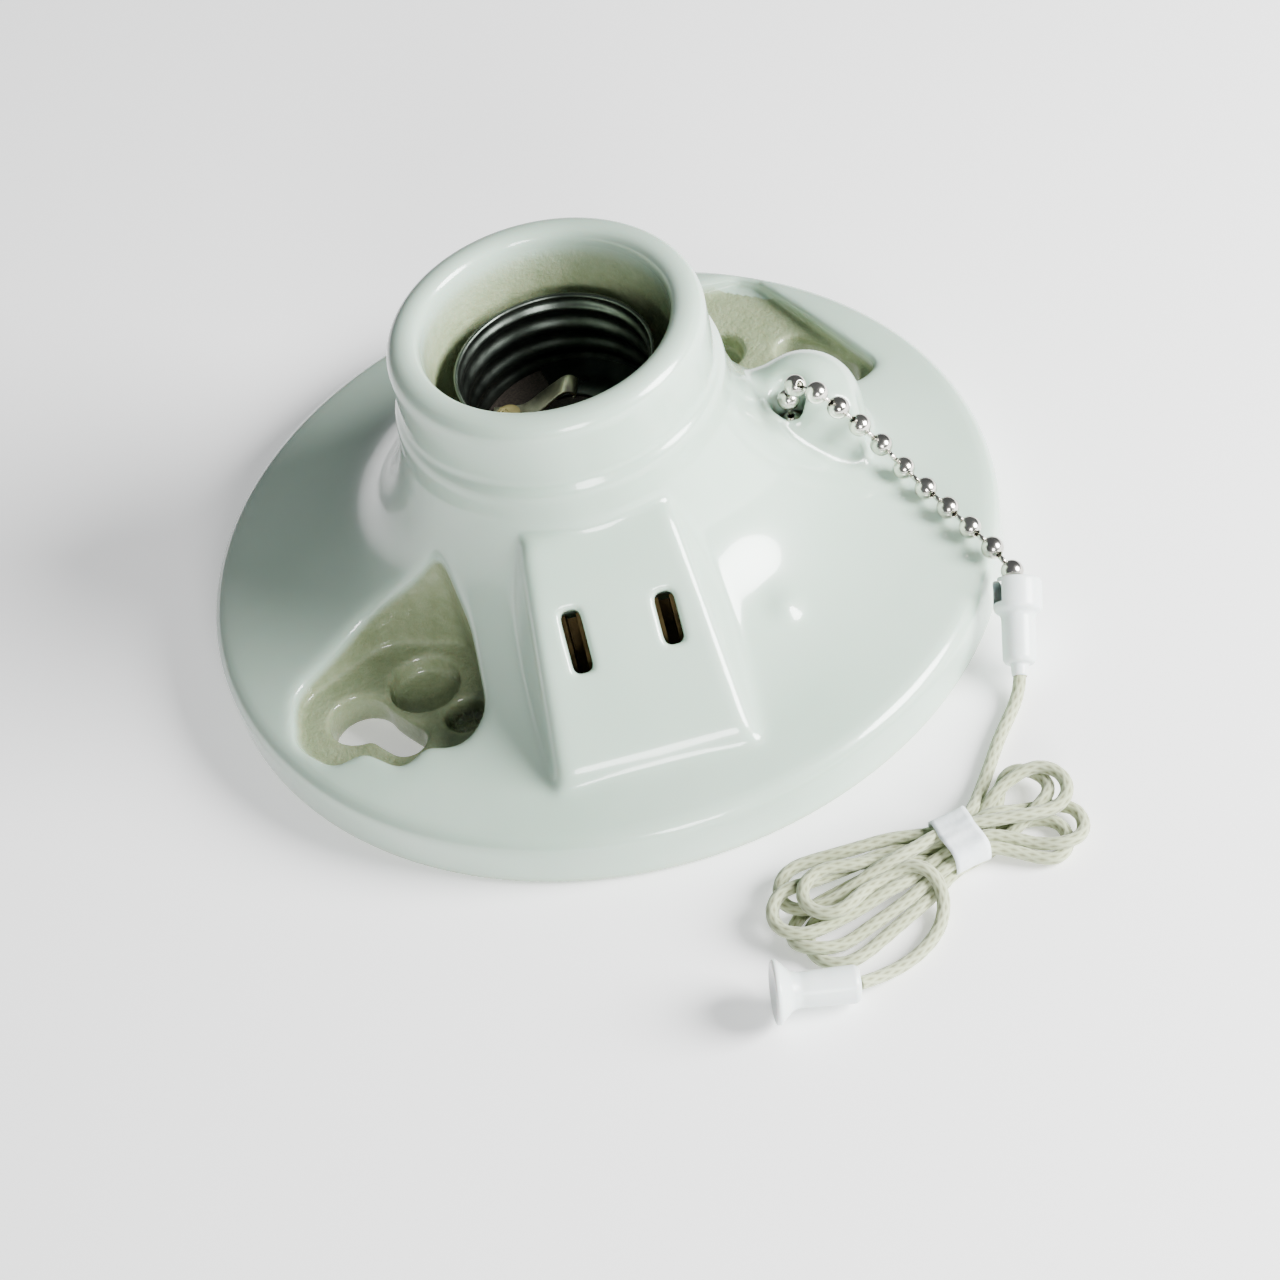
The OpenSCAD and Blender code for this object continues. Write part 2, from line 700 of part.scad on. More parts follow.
module switch_cover() {
    color(FIBRE) difference() {
        translate([24.4, -11.4, cover_z]) cube([17.6, 21.4, cover_h]);
        translate([25.8, -0.7, 0]) cube([9.4, 3.8, 6]);
        for (p = cover_screw_at) translate([p[0], p[1], 0]) cylinder(r = 0.95, h = 6, $fn = 32);
    }
}

module switch_cover_screws() {
    color(STEEL) for (p = cover_screw_at) pan_screw(p, cover_z, 0.95, 6, 1.8, 0.7);
}

// ---------- chain ----------

chain_curve = spline(chain_route);
chain_sums = lengths(chain_curve);
pin_gap = 0.75;
joined = -0.3;
function chain_at(i) = at_length(chain_curve, chain_sums, chain_start_s + bead_pitch * i);

// One bead with the pin that leads on to the next bead, ending short of it by the given gap.
module link(i, gap) {
    p = chain_at(i);
    next = chain_at(i + 1);
    aim(p, next) {
        sphere(d = bead_d, $fn = 48);
        cylinder(r = 0.45, h = norm(next - p) - bead_d / 2 - gap, $fn = 24);
    }
}

module inner_chain() {
    x = chain_hole[0];
    y = chain_hole[1];
    bail_z = stirrup_z + 2.6;
    color(NICKEL) {
        for (i = [0:inner_beads - 2]) link(i, joined);
        link(inner_beads - 1, pin_gap);
        rod([x, y, chain_at(0)[2]], [x, y, bail_z], 0.45);
        for (side = [-1, 1]) translate([x - 0.8, y + side * 1.1 - 0.2, stirrup_z - 0.55])
            cube([1.6, 0.4, bail_z - stirrup_z + 0.95]);
        translate([x - 0.8, y - 1.3, bail_z]) cube([1.6, 2.6, 0.4]);
        along_y(x, stirrup_z, y - 1.3, y + 1.3, 0.55, 24);
    }
}

module chain_link(n) {
    color(NICKEL) link(inner_beads + n - 1, pin_gap);
}

module chain_link_1() { chain_link(1); }
module chain_link_2() { chain_link(2); }
module chain_link_3() { chain_link(3); }
module chain_link_4() { chain_link(4); }
module chain_link_5() { chain_link(5); }
module chain_link_6() { chain_link(6); }
module chain_link_7() { chain_link(7); }
module chain_link_8() { chain_link(8); }

module outer_chain() {
    first = inner_beads + link_count;
    color(NICKEL) {
        for (i = [first:first + outer_beads - 2]) link(i, joined);
        translate(chain_at(first + outer_beads - 1)) sphere(d = bead_d, $fn = 48);
    }
}

// ---------- coupling, cord, band and pull end ----------

module chain_coupling() {
    l = norm(coupling_low - coupling_top);
    color(PLASTIC) aim(coupling_top, coupling_low) difference() {
        union() {
            cylinder(r = 3.4, h = 4.6);
            translate([0, 0, 4.6]) cylinder(r1 = 3.4, r2 = 2.35, h = 1.2);
            translate([0, 0, 5.8]) cylinder(r = 2.35, h = l - 5.8);
        }
        translate([0, 0, -1]) cylinder(r = 2.2, h = 5.5);
    }
}

module pull_cord() {
    color(COTTON) swept_tube(spline(lead_route, 3), cord_d / 2);
}

module cord_tail() {
    color(COTTON) swept_tube(spline(tail_route, 3), cord_d / 2);
}

module cord_band() {
    color(PLASTIC) translate([hank_mid[0], hank_mid[1], 0]) rotate(hank_turn)
        translate([-band_w / 2, -band_l / 2, 0.05]) cube([band_w, band_l, hank_h]);
}

// One lobe of the hank: broad at its loops, drawn in at the band.
module hank_lobe(far, r) {
    hull() {
        translate(far) circle(r = r, $fn = 40);
        translate(0.45 * far) circle(r = r - 0.4, $fn = 40);
        circle(r = band_l / 2 - 0.2, $fn = 32);
    }
}

module cord_hank() {
    color(COTTON) translate([hank_mid[0], hank_mid[1], 0]) rotate(hank_turn)
        translate([0, 0, 0.05]) linear_extrude(hank_h - 0.2) difference() {
            union() {
                hank_lobe(hank_left, hank_left_r);
                hank_lobe(hank_right, hank_right_r);
            }
            translate([-band_w / 2, -10]) square([band_w, 20]);
        }
}

module pull_end() {
    l = norm(pull_end_tip - pull_end_root);
    color(PLASTIC) aim(pull_end_root, pull_end_tip) {
        cylinder(r = 2.5, h = l - 3 + EPS);
        translate([0, 0, l - 3]) cylinder(r1 = 2.5, r2 = 4.3, h = 2.2);
        translate([0, 0, l - 0.8 - EPS]) cylinder(r = 4.3, h = 0.8 + EPS);
    }
}

// ---------- assembly ----------

porcelain_body();
screw_shell();
shell_insulator();
shell_screws();
centre_contact();
centre_rivet();
lamp_strap();
outlet_contact_neutral();
outlet_contact_hot();
neutral_bus();
hot_bus();
terminal_screw_neutral();
terminal_screw_hot();
outlet_cover();
outlet_cover_screw();
switch_bracket();
pivot_pin();
bracket_screws();
pull_lever();
pawl();
ratchet_wheel();
contact_drum();
moving_contact();
line_leaf();
lamp_leaf();
return_spring();
switch_cover();
switch_cover_screws();
inner_chain();
chain_link_1();
chain_link_2();
chain_link_3();
chain_link_4();
chain_link_5();
chain_link_6();
chain_link_7();
chain_link_8();
outer_chain();
chain_coupling();
pull_cord();
cord_hank();
cord_tail();
cord_band();
pull_end();
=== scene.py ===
"""Looks of the pull-chain lampholder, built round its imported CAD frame.

Lengths are millimetres. MM turns them into the metres that Blender and the frame use.
"""

import json
import math

import bpy
import numpy as np
import openvdb
from mathutils import Matrix, Vector


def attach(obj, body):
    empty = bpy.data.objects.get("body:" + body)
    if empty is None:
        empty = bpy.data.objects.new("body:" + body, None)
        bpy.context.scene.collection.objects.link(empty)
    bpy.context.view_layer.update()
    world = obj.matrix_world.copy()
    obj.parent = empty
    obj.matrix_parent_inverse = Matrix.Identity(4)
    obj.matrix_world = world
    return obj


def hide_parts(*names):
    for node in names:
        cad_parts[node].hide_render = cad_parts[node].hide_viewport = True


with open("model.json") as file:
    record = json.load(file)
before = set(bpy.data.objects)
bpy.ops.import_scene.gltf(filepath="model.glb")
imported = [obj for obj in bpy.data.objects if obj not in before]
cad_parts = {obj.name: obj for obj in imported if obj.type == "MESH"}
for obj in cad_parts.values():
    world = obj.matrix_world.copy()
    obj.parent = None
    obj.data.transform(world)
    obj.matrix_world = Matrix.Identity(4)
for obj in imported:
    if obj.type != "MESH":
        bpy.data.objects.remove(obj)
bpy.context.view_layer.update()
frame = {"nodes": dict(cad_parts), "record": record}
MM = 0.001

# ---------- camera: the photograph's view, from low in front of the outlet, leaning to the left ----------

CAMERA_AT, ELEVATION, AZIMUTH, ROLL = (3.8, -334.3, 335), 46.89, -0.1, -14.5
LENS, SHIFT = 91.7, (-0.02, 0.02)


def make_camera():
    el, az, roll = (math.radians(a) for a in (ELEVATION, AZIMUTH, ROLL))
    back = Vector((math.sin(az) * math.cos(el), -math.cos(az) * math.cos(el), math.sin(el)))
    level = Vector((0, 0, 1)).cross(back).normalized()
    rise = back.cross(level)
    right = math.cos(roll) * level + math.sin(roll) * rise
    up = back.cross(right)
    data = bpy.data.cameras.new("camera")
    data.lens, data.sensor_width = LENS, 36
    data.shift_x, data.shift_y = SHIFT
    data.clip_start, data.clip_end = 0.01, 20
    cam = bpy.data.objects.new("camera", data)
    bpy.context.scene.collection.objects.link(cam)
    turn = Matrix((right, up, back)).transposed().to_4x4()
    cam.matrix_world = Matrix.Translation(Vector(CAMERA_AT) * MM) @ turn
    bpy.context.scene.camera = cam


make_camera()

# ---------- mesh helpers ----------


def piece(name, verts, faces, mat, body, replaces=(), smooth=True):
    """A mesh piece from points in millimetres, riding on a body."""
    mesh = bpy.data.meshes.new(name)
    points = [tuple(v) for v in np.asarray(verts) * MM]
    mesh.from_pydata(points, [], [tuple(int(i) for i in f) for f in faces])
    mesh.validate()
    mesh.polygons.foreach_set("use_smooth", [smooth] * len(mesh.polygons))
    mesh.materials.append(mat)
    ob = bpy.data.objects.new(name, mesh)
    bpy.context.scene.collection.objects.link(ob)
    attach(ob, body)
    if replaces:
        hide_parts(*replaces)
    return ob


def joined(parts):
    """Several (points, faces) pairs as one."""
    verts, faces, n = [], [], 0
    for v, f in parts:
        verts.append(np.asarray(v, float))
        faces += [[i + n for i in face] for face in f]
        n += len(v)
    return np.concatenate(verts), faces


def axes_along(direction):
    """Three axes as columns, the last one along the direction."""
    w = np.array(direction, float) / np.linalg.norm(direction)
    u = np.cross([0, 0, 1] if abs(w[2]) < 0.9 else [1, 0, 0], w)
    u /= np.linalg.norm(u)
    return np.stack([u, np.cross(w, u), w], axis=1)


def turned(profile, n=48, start=(0, 0, 0), along=(0, 0, 1)):
    """A profile of [radius, height] turned about its axis; an end with radius 0 closes to a point."""
    verts, faces, rings = [], [], []
    for r, z in profile:
        if r <= 1e-6:
            rings.append([len(verts)])
            verts.append((0, 0, z))
        else:
            rings.append(range(len(verts), len(verts) + n))
            verts += [(r * math.cos(a), r * math.sin(a), z) for a in 2 * math.pi * np.arange(n) / n]
    for a, b in zip(rings, rings[1:]):
        for k in range(n):
            quad = [a[k % len(a)], a[(k + 1) % len(a)], b[(k + 1) % len(b)], b[k % len(b)]]
            quad = list(dict.fromkeys(quad))
            if len(quad) > 2:
                faces.append(quad)
    return np.array(verts) @ axes_along(along).T + np.array(start, float), faces


def spun(points, degrees):
    """The points turned about the Z axis."""
    c, s = math.cos(math.radians(degrees)), math.sin(math.radians(degrees))
    x, y, z = np.array(points, float).T
    return np.stack([x * c - y * s, x * s + y * c, z], axis=1)


def sleeve(rings, sides):
    """Faces of a tube whose points come ring by ring, with a cap on each end."""
    faces = []
    for i in range(rings - 1):
        for k in range(sides):
            a, b = i * sides + k, i * sides + (k + 1) % sides
            faces.append((a, b, b + sides, a + sides))
    last = (rings - 1) * sides
    return faces + [tuple(range(sides))[::-1], tuple(range(last, last + sides))]


def round_over(points, radius, n=4):
    """A profile whose inner corners are rounded."""
    p = [np.array(q, float) for q in points]
    out = [p[0]]
    for a, b, c in zip(p, p[1:], p[2:]):
        cut = min(radius, np.linalg.norm(b - a) * 0.45, np.linalg.norm(c - b) * 0.45)
        s, e = b + (a - b) / np.linalg.norm(a - b) * cut, b + (c - b) / np.linalg.norm(c - b) * cut
        out += [(1 - t) ** 2 * s + 2 * t * (1 - t) * b + t * t * e for t in np.linspace(0, 1, n)]
    return out + [p[-1]]


def spline(points, n=12):
    """A smooth curve through the points, the same one as the CAD's."""
    p = np.array(points, float)
    out = []
    for i in range(len(p) - 1):
        a, b, c, d = p[max(i - 1, 0)], p[i], p[i + 1], p[min(i + 2, len(p) - 1)]
        for t in np.arange(n) / n:
            square, cube = (2 * a - 5 * b + 4 * c - d) * t**2, (3 * b - a - 3 * c + d) * t**3
            out.append(0.5 * (2 * b + (c - a) * t + square + cube))
    return np.array(out + [p[-1]])


def lengths(line):
    return np.concatenate([[0], np.cumsum(np.linalg.norm(np.diff(line, axis=0), axis=1))])


def spaced(line, step):
    s = lengths(line)
    at = np.linspace(0, s[-1], max(2, int(round(s[-1] / step)) + 1))
    return np.stack([np.interp(at, s, line[:, k]) for k in range(3)], axis=1)


# ---------- material helpers ----------


class Shader:
    """A node material that is written out one node at a time."""

    def __init__(self, name, **values):
        self.mat = bpy.data.materials.new(name)
        self.mat.use_nodes = True
        self.tree = self.mat.node_tree
        self.bsdf = self.tree.nodes["Principled BSDF"]
        for key, value in values.items():
            self.bsdf.inputs[key.replace("_", " ")].default_value = value

    def node(self, kind, values=(), links=(), **props):
        n = self.tree.nodes.new(kind)
        for key, value in props.items():
            setattr(n, key, value)
        for key, value in dict(values).items():
            n.inputs[key].default_value = value
        for key, source in dict(links).items():
            self.tree.links.new(source, n.inputs[key])
        return n

    def noise(self, scale, detail=3, rough=0.5, stretch=None):
        co = self.node("ShaderNodeTexCoord").outputs["Object"]
        if stretch:
            co = self.node("ShaderNodeMapping", {"Scale": stretch}, {"Vector": co}).outputs["Vector"]
        values = {"Scale": scale, "Detail": detail, "Roughness": rough}
        return self.node("ShaderNodeTexNoise", values, {"Vector": co}).outputs["Fac"]

    def ramp(self, source, stops):
        n = self.node("ShaderNodeValToRGB", links={"Fac": source})
        e = n.color_ramp.elements
        while len(e) < len(stops):
            e.new(0.5)
        for at, (place, colour) in zip(e, stops):
            at.position, at.color = place, (*colour, 1)
        return n.outputs["Color"]

    def mix(self, factor, a, b):
        n = self.node("ShaderNodeMix", data_type="RGBA")
        for socket, value in ((n.inputs[0], factor), (n.inputs[6], a), (n.inputs[7], b)):
            if isinstance(value, (tuple, float, int)):
                socket.default_value = (*value, 1) if isinstance(value, tuple) else value
            else:
                self.tree.links.new(value, socket)
        return n.outputs[2]

    def math(self, operation, a, b=0.0):
        n = self.node("ShaderNodeMath", operation=operation)
        for socket, value in zip(n.inputs, (a, b)):
            if isinstance(value, (float, int)):
                socket.default_value = value
            else:
                self.tree.links.new(value, socket)
        return n.outputs[0]

    def attribute(self, name):
        return self.node("ShaderNodeAttribute", attribute_name=name).outputs["Fac"]

    def bump(self, height, strength, distance, normal=None):
        links = {"Height": height}
        if normal is not None:
            links["Normal"] = normal
        values = {"Strength": strength, "Distance": distance}
        return self.node("ShaderNodeBump", values, links).outputs["Normal"]

    def set(self, socket, source):
        self.tree.links.new(source, self.bsdf.inputs[socket])


def shade(colour, factor):
    return tuple(c * factor for c in colour)


def metal(name, colour, rough, dark=0.6, grain=900, bevel=0.00012):
    """Sheet metal or turned metal: mottled colour, smears in the gloss, fine scratches and worn edges."""
    s = Shader(name, Metallic=1.0)
    blotch = s.noise(220, 4)
    tint = s.ramp(blotch, [(0.35, shade(colour, dark)), (0.6, colour)])
    s.set("Base Color", tint)
    streak = s.noise(grain, 3, 0.6, (1, 1, 0.12))
    s.set("Roughness", s.math("MULTIPLY_ADD", streak, 0.22))
    s.tree.nodes[-1].inputs[2].default_value = rough - 0.1
    soft = s.node("ShaderNodeBevel", {"Radius": bevel}, samples=4).outputs["Normal"]
    s.set("Normal", s.bump(streak, 0.12, 0.0001, soft))
    return s.mat


def plastic(name, colour, rough, coat=0.0, sub=0.0):
    s = Shader(name, Coat_Weight=coat, Coat_Roughness=0.12, Subsurface_Weight=sub, Subsurface_Scale=0.002)
    s.set("Base Color", s.ramp(s.noise(260, 3), [(0.3, shade(colour, 0.93)), (0.7, colour)]))
    s.set("Roughness", s.math("MULTIPLY_ADD", s.noise(700, 3), 0.16))
    s.tree.nodes[-1].inputs[2].default_value = rough - 0.08
    soft = s.node("ShaderNodeBevel", {"Radius": 0.00015}, samples=4).outputs["Normal"]
    s.set("Normal", s.bump(s.noise(1800, 2), 0.1, 0.0001, soft))
    return s.mat


def fibre(name, colour):
    """Pressed fibre board: matte, speckled and faintly rough."""
    s = Shader(name)
    speck = s.noise(2600, 5, 0.7)
    s.set("Base Color", s.ramp(speck, [(0.35, shade(colour, 0.6)), (0.65, shade(colour, 1.5))]))
    s.set("Roughness", s.math("MULTIPLY_ADD", speck, 0.2))
    s.tree.nodes[-1].inputs[2].default_value = 0.62
    s.set("Normal", s.bump(speck, 0.35, 0.0002))
    return s.mat


# ---------- cord: lead, hank and tail are one length of braid ----------

CORD_D = 1.8
STIFFNESS = 0.4
LEAD = [(51, -39.9, 3), (50.4, -41.8, 2), (49.4, -43.8, 1.2), (47.6, -46.6, 0.95), (45.4, -49.8, 0.95),
        (43.2, -53.6, 0.95), (41, -57.4, 1), (39.5, -60.2, 1.8), (38.4, -62.4, 2.6)]
TAIL = [(31.4, -72, 1.6), (31.4, -74.4, 1.1), (30.6, -77, 0.95), (28.6, -79.8, 0.95), (25.6, -82, 0.95),
        (22.2, -83.4, 1.2), (20, -84.3, 1.9), (18, -85, 2.6)]
BAND_AT, BAND_TURN = (35.7, -66.6), 14
BAND_W, BAND_L, BAND_H = 5.2, 8.2, 5.0

# Loops of the hank in its own frame, in the order in which the cord runs through them. Each left fold is
# [middle x, y, radius, height], each right fold the same, and each run's place under the band is [y, height].
LEFT_FOLDS = [(-20.2, 3.9, 3.8, 2.7), (-22.6, 0.5, 3.9, 2.9), (-21.3, -2.2, 3.9, 1.2), (-19.6, -4.4, 4.4, 1.0),
              (-18.2, 0.4, 3.8, 4.2)]
RIGHT_FOLDS = [(12.6, 1.4, 3.9, 3.2), (11.9, -3.9, 3.9, 1.6), (9.2, -4.6, 3.9, 0.95), (10.8, 3.3, 3.9, 2.0)]
RUN_OUT = [(-13, -0.6, 3.2), (-10.5, -0.45, 3.2), (-8, -0.8, 3.1), (-6.6, -1.8, 3), (-5.8, -3, 2.9)]
UPPER = [(2.8, 2.5), (2.8, 0.95), (0.9, 2.5), (0.9, 0.95), (-0.9, 0.95)]
LOWER = [(0.9, 4.0), (-0.9, 2.6), (-2.8, 2.5), (-2.8, 0.95)]


def hank_frame(points):
    """From the hank's own frame, whose origin is under the band, to the object's."""
    return spun(points, BAND_TURN) + (*BAND_AT, 0)


def to_hank(points):
    return spun(np.array(points, float) - (*BAND_AT, 0), -BAND_TURN)


def hank_line():
    """Middle of the cord through the hank, before its loops are pushed apart."""
    p = []
    for k, (x, y, r, z) in enumerate(LEFT_FOLDS):
        uy, uz = UPPER[k]
        p += [(2.4, uy, uz), (-2.4, uy, uz), (-9, (uy + y + r) / 2, (uz + z) / 2 + 0.2)]
        for a in np.radians(np.linspace(90, 270, 8)):
            p.append((x + r * 1.1 * math.cos(a), y + r * math.sin(a), z))
        if k == len(LEFT_FOLDS) - 1:
            p += RUN_OUT
            break
        dy, dz = LOWER[k]
        p += [(-9, (dy + y - r) / 2, (dz + z) / 2 + 0.2), (-2.4, dy, dz), (2.4, dy, dz)]
        x, y, r, z = RIGHT_FOLDS[k]
        p.append((6.5, (dy + y - r) / 2, (dz + z) / 2))
        for a in np.radians(np.linspace(-90, 90, 8)):
            p.append((x + r * math.cos(a), y + r * math.sin(a), z))
        uy, uz = UPPER[k + 1]
        p.append((6.5, (uy + y + r) / 2, (uz + z) / 2))
    return p


def flattened(line):
    """How far each point is from the middle of its neighbours."""
    out = np.zeros_like(line)
    out[1:-1] = (line[:-2] + line[2:]) / 2 - line[1:-1]
    return out


def settle(line, fixed, rounds=260):
    """Pushes the loops apart until they lie on and beside each other, and no lower than the table."""
    line = line.copy()
    start = line.copy()
    index = np.arange(len(line))
    apart = CORD_D * 0.97
    edge = 1.15  # from the band's paper to the middle of a strand under it
    far = np.abs(index[:, None] - index[None, :]) > 4
    for k in range(rounds):
        d = line[:, None] - line[None, :]
        dist = np.linalg.norm(d, axis=2) + 1e-6
        push = np.where(far & (dist < apart), (apart - dist) / dist, 0)
        move = (push[:, :, None] * d).sum(axis=1) * 0.25
        bend = flattened(line)
        line = line + move * 0.8 - flattened(bend) * STIFFNESS + bend * 0.015 + (start - line) * 0.02
        funnel = np.maximum(np.abs(line[:, 0]) - BAND_W / 2, 0)
        reach = BAND_L / 2 - edge + funnel * 0.7
        near = funnel < 4
        line[near, 1] = np.clip(line[near, 1], -reach[near], reach[near])
        line[near, 2] = np.minimum(line[near, 2], BAND_H - edge + funnel[near] * 0.5)
        line[:, 2] = np.clip(line[:, 2], 0.92, 6)
        line[fixed] = start[fixed]
    for k in range(20):
        line -= flattened(flattened(line)) * STIFFNESS
    return line


def cord_line():
    lead, tail = to_hank(spline(LEAD)), to_hank(spline(TAIL))
    tail[:, 2] += 1.2 * np.clip(1 - lengths(tail) / 5, 0, 1)
    middle = spline(np.concatenate([lead[-3:-2], hank_line(), tail[:1]]), 10)
    whole = spaced(np.concatenate([lead[:-3], middle, tail[1:]]), 0.9)
    s = lengths(whole)
    fixed = (s < lengths(lead)[-1] - 2) | (s > s[-1] - lengths(tail)[-1] + 1)
    return spaced(spline(hank_frame(settle(whole, fixed)), 6), 0.22)


def moving_frames(line):
    """Tangent and two side directions along a line, without twist."""
    t = np.gradient(line, axis=0)
    t /= np.linalg.norm(t, axis=1)[:, None]
    u = np.zeros_like(t)
    u[0] = axes_along(t[0])[:, 0]
    for i in range(1, len(t)):
        v = u[i - 1] - t[i] * (u[i - 1] @ t[i])
        u[i] = v / np.linalg.norm(v)
    return t, u, np.cross(t, u)


def braid(line, radius, sides=24, carriers=6, lay=2.6, depth=0.055):
    """A braided tube: strands cross over and under in both directions round the cord."""
    t, u, v = moving_frames(line)
    s = lengths(line)[:, None]
    a = np.linspace(0, 2 * math.pi, sides, endpoint=False)[None, :]
    one, two = np.cos(carriers * a + 2 * math.pi * s / lay), np.cos(carriers * a - 2 * math.pi * s / lay)
    r = radius * (1 - depth + depth * np.maximum(one, two))
    out = np.cos(a)[..., None] * u[:, None] + np.sin(a)[..., None] * v[:, None]
    rings = line[:, None] + r[..., None] * out
    # Height of the strands' crowns, 0 in the grooves between them: the mask for the painted shade in those
    # grooves.
    groove_shade = 0.5 + 0.5 * np.maximum(one, two)
    return rings.reshape(-1, 3), sleeve(len(line), sides), groove_shade.reshape(-1)


def cotton():
    s = Shader("cotton", Sheen_Weight=0.35, Sheen_Roughness=0.5)
    groove_shade = s.attribute("groove_shade")
    tone = s.noise(160, 3)
    light = s.ramp(tone, [(0.3, (0.40, 0.45, 0.27)), (0.7, (0.50, 0.55, 0.36))])
    # Near black in the grooves between strands: painted shade.
    s.set("Base Color", s.mix(s.math("POWER", groove_shade, 0.7), (0.15, 0.15, 0.07), light))
    s.bsdf.inputs["Roughness"].default_value = 0.85
    thread = s.noise(5200, 3, 0.7)
    s.set("Normal", s.bump(thread, 0.35, 0.0002))
    return s.mat


def make_cord():
    line = cord_line()
    verts, faces, groove_shade = braid(line, CORD_D / 2)
    solids = ["pull_cord", "cord_hank", "cord_tail"]
    cord = piece("braided_cord", verts, faces, cotton(), "pull", solids)
    cord.data.attributes.new("groove_shade", "FLOAT", "POINT").data.foreach_set("value", groove_shade.astype(np.float32))
    spaced(line, 1.0) * MM
    return lengths(line)[-1]


def make_band():
    """A paper tape wound round the hank, drawn in by the strands under it."""
    n, rows = 72, 9
    p = 3.4  # between an ellipse, 2, and a rectangle
    rng = np.random.default_rng(4)
    wave = rng.uniform(0, 6.28, 5)
    verts, faces = [], []
    for side, inset in ((1, 0.0), (-1, 0.22)):
        for i in range(rows):
            x = (i / (rows - 1) - 0.5) * (BAND_W - 0.1)
            flare = 0.16 * (abs(x) / BAND_W * 2) ** 2
            for k in range(n):
                a = 2 * math.pi * k / n
                c, s = math.cos(a), math.sin(a)
                squarish = abs(c / (BAND_L / 2 - 0.05)) ** p + abs(s / (BAND_H / 2 - 0.02)) ** p
                r = squarish ** (-1 / p)
                ripple = 0.06 * math.sin(5 * a + wave[0] + x * 0.5) + 0.04 * math.sin(9 * a + wave[1])
                r += (ripple + flare * 0.5 - 0.1 - inset) * (1 if s > -0.6 else 0.3)
                edge = x + 0.1 * math.sin(3 * a + wave[2])
                verts.append((edge, r * c, max(BAND_H / 2 + r * s, 0.05 + inset)))
    at = lambda shell, i, k: shell * rows * n + i * n + k % n
    for i in range(rows - 1):
        for k in range(n):
            faces.append((at(0, i, k), at(0, i, k + 1), at(0, i + 1, k + 1), at(0, i + 1, k)))
            faces.append((at(1, i, k), at(1, i + 1, k), at(1, i + 1, k + 1), at(1, i, k + 1)))
    for k in range(n):
        faces.append((at(0, 0, k), at(1, 0, k), at(1, 0, k + 1), at(0, 0, k + 1)))
        faces.append((at(0, rows - 1, k), at(0, rows - 1, k + 1), at(1, rows - 1, k + 1), at(1, rows - 1, k)))
    s = Shader("paper", Roughness=0.6)
    s.set("Base Color", s.ramp(s.noise(420, 4), [(0.35, (0.72, 0.78, 0.80)), (0.6, (0.82, 0.87, 0.88))]))
    s.set("Normal", s.bump(s.noise(900, 4), 0.3, 0.0003))
    piece("paper_band", hank_frame(verts), faces, s.mat, "pull", ["cord_band"])


WHITE = plastic("white_plastic", (0.76, 0.83, 0.81), 0.38, 0.3, 0.15)
END_ROOT, END_TIP = np.array((18, -85, 2.6)), np.array((6.9, -84.3, 4.4))
COUPLING_TOP, COUPLING_LOW = np.array((53.9, -29.6, 8.4)), np.array((51, -39.9, 3.0))


def make_pull_end():
    """Bell-shaped end: a barrel with a cord hole, a waist and a dished flare."""
    l = np.linalg.norm(END_TIP - END_ROOT)
    cord_hole = [(1.0, 1.6), (1.0, 0.05), (2.1, 0.0), (2.5, 0.6)]
    waist = [(2.35, l - 4.6), (2.25, l - 3.6), (2.6, l - 2.4), (3.7, l - 1.3)]
    rim = [(4.25, l - 0.75), (4.2, l - 0.2), (3.5, l - 0.05)]
    outside = round_over(cord_hole + waist + rim, 0.35)
    dish = [(2.4, l - 0.55), (1.2, l - 0.8), (0, l - 0.85)]
    verts, faces = turned(outside + dish, 64, END_ROOT, END_TIP - END_ROOT)
    return piece("bell_end", verts, faces, WHITE, "pull", ["pull_end"])


def make_coupling():
    """Snap coupling: a wide cup with a side slot for the chain's last bead, and a narrow cord sleeve."""
    along = COUPLING_LOW - COUPLING_TOP
    l = np.linalg.norm(along)
    cup = [(1.95, 4.2), (2.2, 3.4), (2.2, 0.5), (2.6, 0.05), (3.3, 0.1), (3.4, 0.6), (3.38, 3.9), (3.25, 4.5)]
    tube = [(2.55, 5.0), (2.35, 5.5), (2.3, l - 0.6), (2.0, l - 0.05), (1.25, l), (1.12, l + 1.6), (0.95, l + 1.7)]
    profile = round_over(cup + tube, 0.3)
    verts, faces = turned([(0, 4.6), (1.4, 4.5)] + profile, 72, (0, 0, 0), (0, 0, 1))
    frame_axes = axes_along(along)
    left = frame_axes.T @ np.array((-0.92, 0.1, 0.38))
    slot_a = math.atan2(left[1], left[0])
    keep = []
    for f in faces:
        c = verts[f].mean(axis=0)
        r, a, z = math.hypot(c[0], c[1]), math.atan2(c[1], c[0]), c[2]
        off = (a - slot_a + math.pi) % (2 * math.pi) - math.pi
        wide = 0.3 if z < 1.6 else 0.52
        if not (r > 2.15 and z < 3.2 and abs(off) < wide):
            keep.append(f)
    verts = verts @ frame_axes.T + COUPLING_TOP
    piece("snap_coupling", verts, keep, WHITE, "pull", ["chain_coupling"])


make_band()
bell = make_pull_end()
cord_mm = make_cord()
make_coupling()

# ---------- porcelain ----------

FLARE_LOW, FLARE_GAIN, FLARE_AXIS = 2.9, 225, 16
VOXEL = 0.4
REACH = 7  # voxels on each side of the surface
SOFT, FIRM = 2.6, 1.1  # voxels that the thick and the thin glaze round off
SLOT_X = 6.35


def blurred(field, sigma):
    """The field smoothed along all three axes."""
    n = int(math.ceil(sigma * 2.5))
    w = np.exp(-0.5 * (np.arange(-n, n + 1) / sigma) ** 2)
    w = (w / w.sum()).astype(np.float32)
    for axis in range(3):
        pad = [(n, n) if a == axis else (0, 0) for a in range(3)]
        wide = np.pad(field, pad, mode="edge")
        length = field.shape[axis]
        field = sum(w[k] * np.take(wide, range(k, k + length), axis=axis) for k in range(2 * n + 1))
    return field


